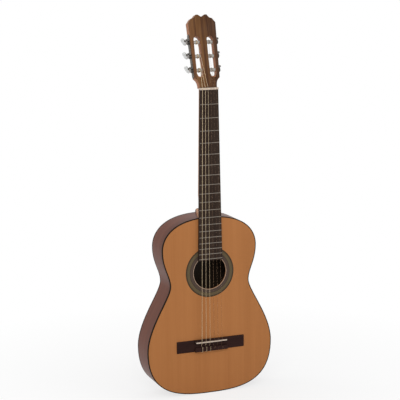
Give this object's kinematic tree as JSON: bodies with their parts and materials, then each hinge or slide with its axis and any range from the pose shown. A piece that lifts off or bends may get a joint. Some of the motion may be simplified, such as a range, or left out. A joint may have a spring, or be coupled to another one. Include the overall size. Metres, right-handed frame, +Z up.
{
  "type": "classical guitar",
  "caption": "Classical guitar with a fan-braced body, slotted head, geared tuning machines, tied bridge and strings; each button turns its string roller through a worm.",
  "frame": {"origin": "under the lowest point of the body's tail, on the centre line, at mid depth", "axes": "+Z up along the neck to the head, the soundboard faces -Y, +X on the treble side"},
  "size_m": [0.3436, 0.0931, 0.976],
  "materials": {
    "cedar": "satin lacquer",
    "mahogany": "gloss lacquer",
    "black_edge": "gloss lacquer",
    "spruce": "bare wood",
    "cedrela": "satin lacquer",
    "head_veneer": "gloss lacquer",
    "rosewood": "oiled",
    "inlay": "satin lacquer",
    "bone": "polished bone",
    "nickel": "nickel plated",
    "pearl": "pearl",
    "nylon": "clear nylon",
    "wound_string": "silver-plated winding"
  },
  "bodies": {
    "guitar": {"back": "mahogany", "back_binding": "black_edge", "back_brace_1": "spruce", "back_brace_2": "spruce", "back_brace_3": "spruce", "back_lining": "spruce", "bridge": "rosewood", "bridge_patch": "spruce", "fan_brace_bass": "spruce", "fan_brace_centre": "spruce", "fan_brace_treble": "spruce", "fingerboard": "rosewood", "head_veneer": "head_veneer", "headstock": "cedrela", "heel_cap": "rosewood", "lower_bar": "spruce", "neck": "cedrela", "neck_block": "cedrela", "nut": "bone", "rosette": "inlay", "saddle": "bone", "side_bass": "mahogany", "side_treble": "mahogany", "soundboard": "cedar", "string_1": "nylon", "string_2": "nylon", "string_3": "nylon", "string_4": "wound_string", "string_5": "wound_string", "string_6": "wound_string", "tail_block": "cedrela", "top_binding": "black_edge", "top_lining": "spruce", "tuner_plate_bass": "nickel", "tuner_plate_treble": "nickel", "upper_bar": "spruce"},
    "button_unit_bass_low": {"worm_bass_low": "nickel", "button_bass_low": "pearl"},
    "roller_unit_bass_low": {"roller_bass_low": "bone", "gear_bass_low": "nickel"},
    "button_unit_bass_mid": {"worm_bass_mid": "nickel", "button_bass_mid": "pearl"},
    "roller_unit_bass_mid": {"roller_bass_mid": "bone", "gear_bass_mid": "nickel"},
    "button_unit_bass_high": {"worm_bass_high": "nickel", "button_bass_high": "pearl"},
    "roller_unit_bass_high": {"roller_bass_high": "bone", "gear_bass_high": "nickel"},
    "button_unit_treble_low": {"worm_treble_low": "nickel", "button_treble_low": "pearl"},
    "roller_unit_treble_low": {"roller_treble_low": "bone", "gear_treble_low": "nickel"},
    "button_unit_treble_mid": {"worm_treble_mid": "nickel", "button_treble_mid": "pearl"},
    "roller_unit_treble_mid": {"roller_treble_mid": "bone", "gear_treble_mid": "nickel"},
    "button_unit_treble_high": {"worm_treble_high": "nickel", "button_treble_high": "pearl"},
    "roller_unit_treble_high": {"roller_treble_high": "bone", "gear_treble_high": "nickel"}
  },
  "joints": [
    {"name": "turn_button_bass_low", "type": "hinge", "parent": "guitar", "child": "button_unit_bass_low", "pos_m": [-0.0382, -0.01186, 0.8455], "axis": [0, -0.9668, 0.2554], "continuous": true},
    {"name": "turn_roller_bass_low", "type": "hinge", "parent": "guitar", "child": "roller_unit_bass_low", "pos_m": [-0.03375, -0.01382, 0.83807], "axis": [-0.9997, -0.0067, -0.0255], "continuous": true},
    {"name": "turn_button_bass_mid", "type": "hinge", "parent": "guitar", "child": "button_unit_bass_mid", "pos_m": [-0.03914, -0.00279, 0.87982], "axis": [0, -0.9668, 0.2554], "continuous": true},
    {"name": "turn_roller_bass_mid", "type": "hinge", "parent": "guitar", "child": "roller_unit_bass_mid", "pos_m": [-0.03469, -0.00475, 0.87238], "axis": [-0.9997, -0.0067, -0.0255], "continuous": true},
    {"name": "turn_button_bass_high", "type": "hinge", "parent": "guitar", "child": "button_unit_bass_high", "pos_m": [-0.04008, 0.00627, 0.91412], "axis": [0, -0.9668, 0.2554], "continuous": true},
    {"name": "turn_roller_bass_high", "type": "hinge", "parent": "guitar", "child": "roller_unit_bass_high", "pos_m": [-0.03562, 0.00431, 0.9067], "axis": [-0.9997, -0.0067, -0.0255], "continuous": true},
    {"name": "turn_button_treble_low", "type": "hinge", "parent": "guitar", "child": "button_unit_treble_low", "pos_m": [0.0382, -0.01186, 0.8455], "axis": [0, -0.9668, 0.2554], "continuous": true},
    {"name": "turn_roller_treble_low", "type": "hinge", "parent": "guitar", "child": "roller_unit_treble_low", "pos_m": [0.03375, -0.01382, 0.83807], "axis": [0.9997, -0.0067, -0.0255], "continuous": true},
    {"name": "turn_button_treble_mid", "type": "hinge", "parent": "guitar", "child": "button_unit_treble_mid", "pos_m": [0.03914, -0.00279, 0.87982], "axis": [0, -0.9668, 0.2554], "continuous": true},
    {"name": "turn_roller_treble_mid", "type": "hinge", "parent": "guitar", "child": "roller_unit_treble_mid", "pos_m": [0.03469, -0.00475, 0.87238], "axis": [0.9997, -0.0067, -0.0255], "continuous": true},
    {"name": "turn_button_treble_high", "type": "hinge", "parent": "guitar", "child": "button_unit_treble_high", "pos_m": [0.04008, 0.00627, 0.91412], "axis": [0, -0.9668, 0.2554], "continuous": true},
    {"name": "turn_roller_treble_high", "type": "hinge", "parent": "guitar", "child": "roller_unit_treble_high", "pos_m": [0.03562, 0.00431, 0.9067], "axis": [0.9997, -0.0067, -0.0255], "continuous": true}
  ],
  "couplings": [
    {"joint": "turn_roller_bass_low", "follows": "turn_button_bass_low", "ratio": 0.071429},
    {"joint": "turn_roller_bass_mid", "follows": "turn_button_bass_mid", "ratio": 0.071429},
    {"joint": "turn_roller_bass_high", "follows": "turn_button_bass_high", "ratio": 0.071429},
    {"joint": "turn_roller_treble_low", "follows": "turn_button_treble_low", "ratio": -0.071429},
    {"joint": "turn_roller_treble_mid", "follows": "turn_button_treble_mid", "ratio": -0.071429},
    {"joint": "turn_roller_treble_high", "follows": "turn_button_treble_high", "ratio": -0.071429}
  ]
}
